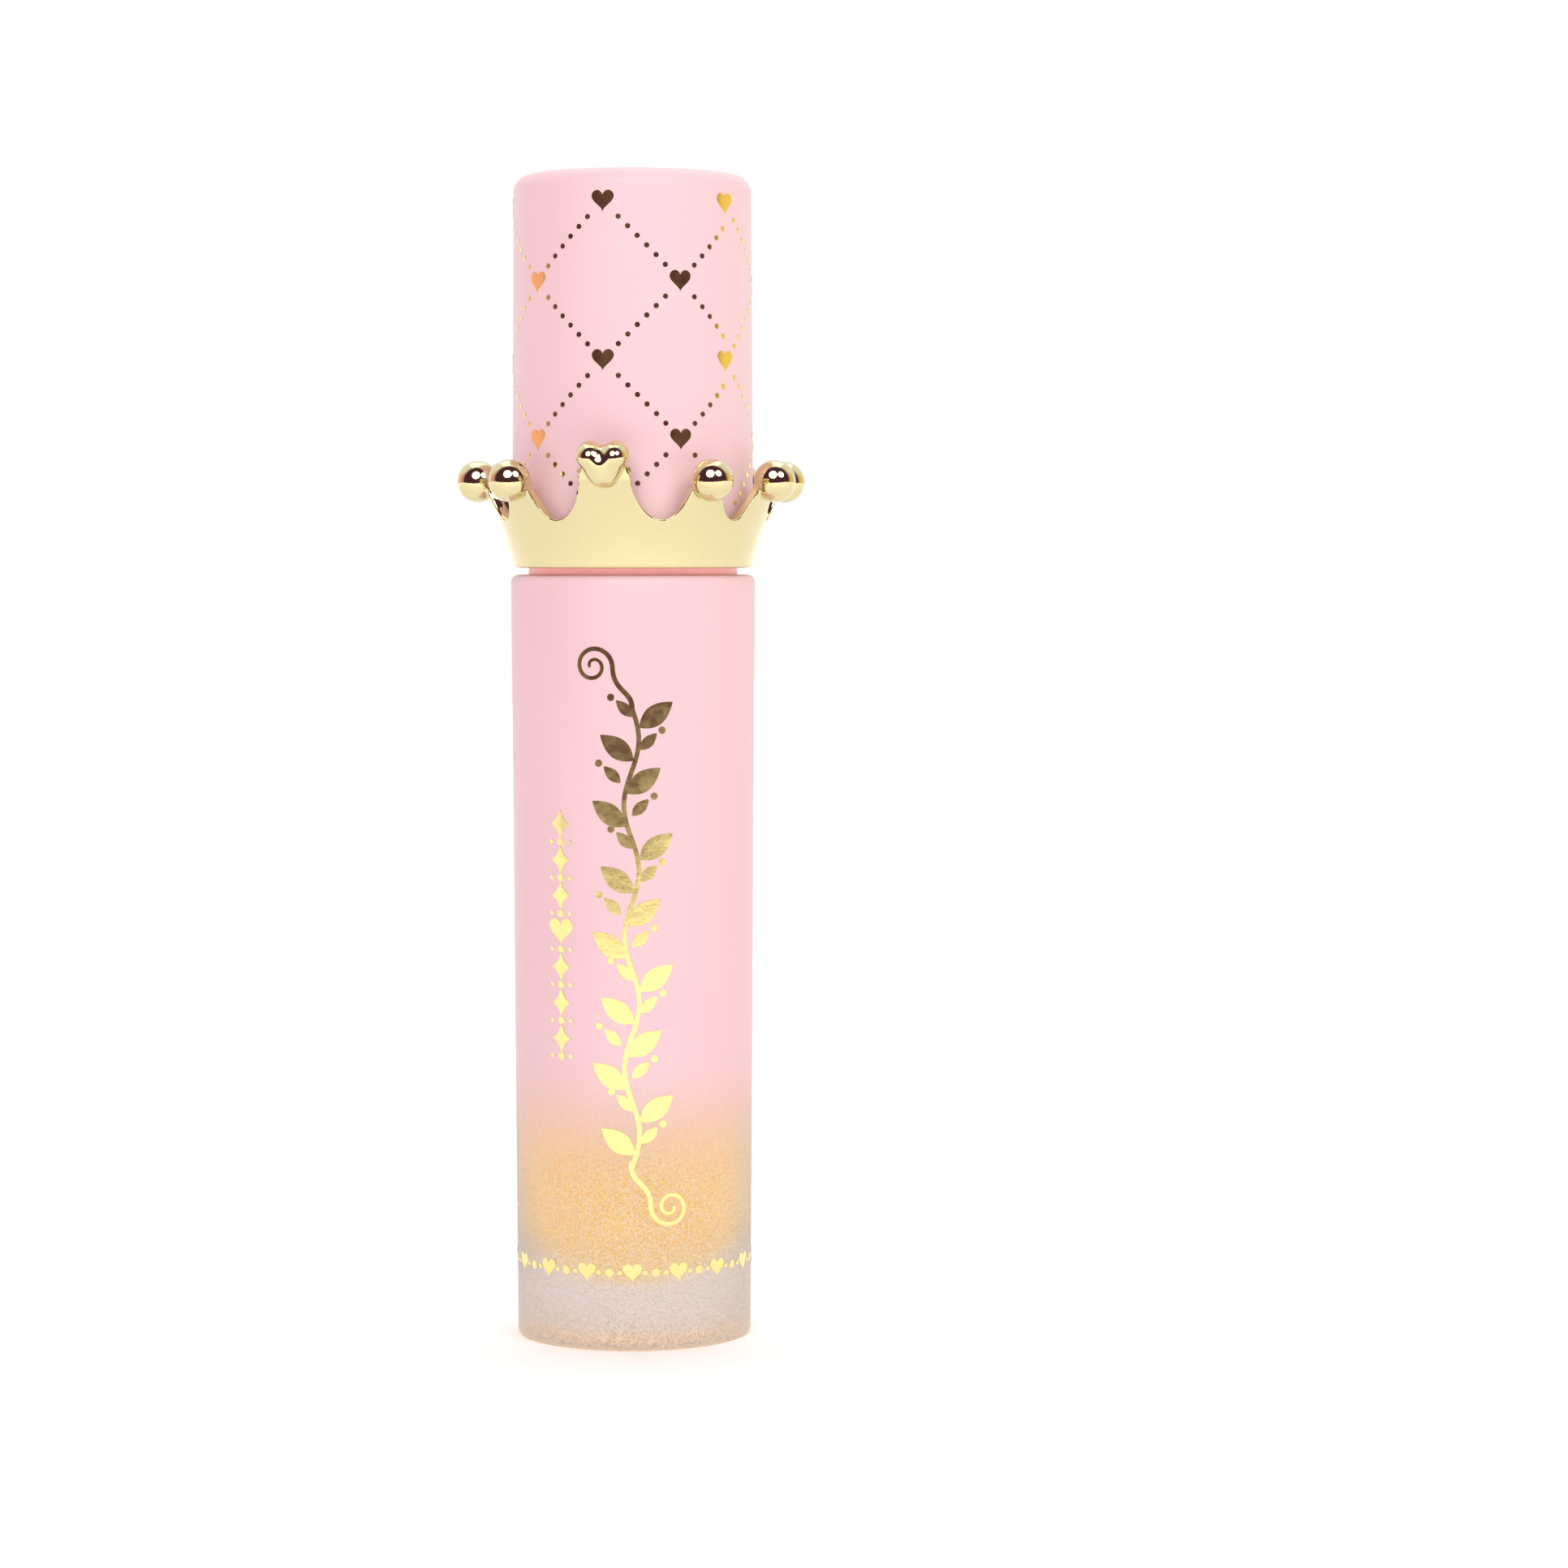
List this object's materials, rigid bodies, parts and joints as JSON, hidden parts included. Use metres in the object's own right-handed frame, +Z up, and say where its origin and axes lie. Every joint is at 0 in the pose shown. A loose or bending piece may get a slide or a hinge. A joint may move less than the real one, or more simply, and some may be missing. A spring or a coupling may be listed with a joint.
{
  "type": "lip gloss tube",
  "caption": "Round lip gloss tube: frosted thick-walled bottle, crowned screw cap with threaded inner cap, and a flocked wand drawn through a soft wiper.",
  "frame": {"origin": "centre of the bottle's base, at the height of its foot ring", "axes": "+Z up along the tube's axis, towards the cap; the crown's heart faces -Y; +X to the right of the heart as it is looked at"},
  "size_m": [0.028, 0.0288, 0.095],
  "materials": {
    "frosted_bottle": "frosted clear thick-walled plastic, painted pale pink fading to bare frost near the base",
    "wiper_plastic": "soft natural polyethylene",
    "gloss_liquid": "thick honey-gold liquid with fine shimmer",
    "seal_foam": "closed-cell polyethylene foam",
    "rod_plastic": "translucent natural polypropylene",
    "core_plastic": "moulded flexible plastic",
    "flock": "short flocked pile wetted with honey-gold gloss",
    "inner_cap_plastic": "moulded polypropylene",
    "soft_touch_shell": "soft-touch pale pink with hot-foil gold hearts and dots",
    "gold_plated_plastic": "vacuum-metallised polished gold on moulded plastic"
  },
  "bodies": {
    "bottle": {"bottle": "frosted_bottle", "wiper": "wiper_plastic", "gloss": "gloss_liquid"},
    "seal": {"seal_ring": "seal_foam"},
    "rod": {"wand_rod": "rod_plastic"},
    "cap": {"cap_shell": "soft_touch_shell", "crown": "gold_plated_plastic", "inner_cap": "inner_cap_plastic", "tip_core": "core_plastic", "tip_flock": "flock"}
  },
  "joints": [
    {"name": "wand_pull", "type": "slide", "parent": "bottle", "child": "seal", "axis": [0, 0, 1], "range_m": [0, 0.072], "deforming": ["wiper", "gloss"]},
    {"name": "thread_rise", "type": "slide", "parent": "seal", "child": "rod", "axis": [0, 0, 1], "range_m": [0, 0.0045]},
    {"name": "cap_turn", "type": "hinge", "parent": "rod", "child": "cap", "pos_m": [0, 0, 0.0629], "axis": [0, 0, 1], "range_deg": [0, 540]}
  ],
  "couplings": [
    {"joint": "thread_rise", "follows": "cap_turn", "m_per_rad": 0.00047746}
  ]
}
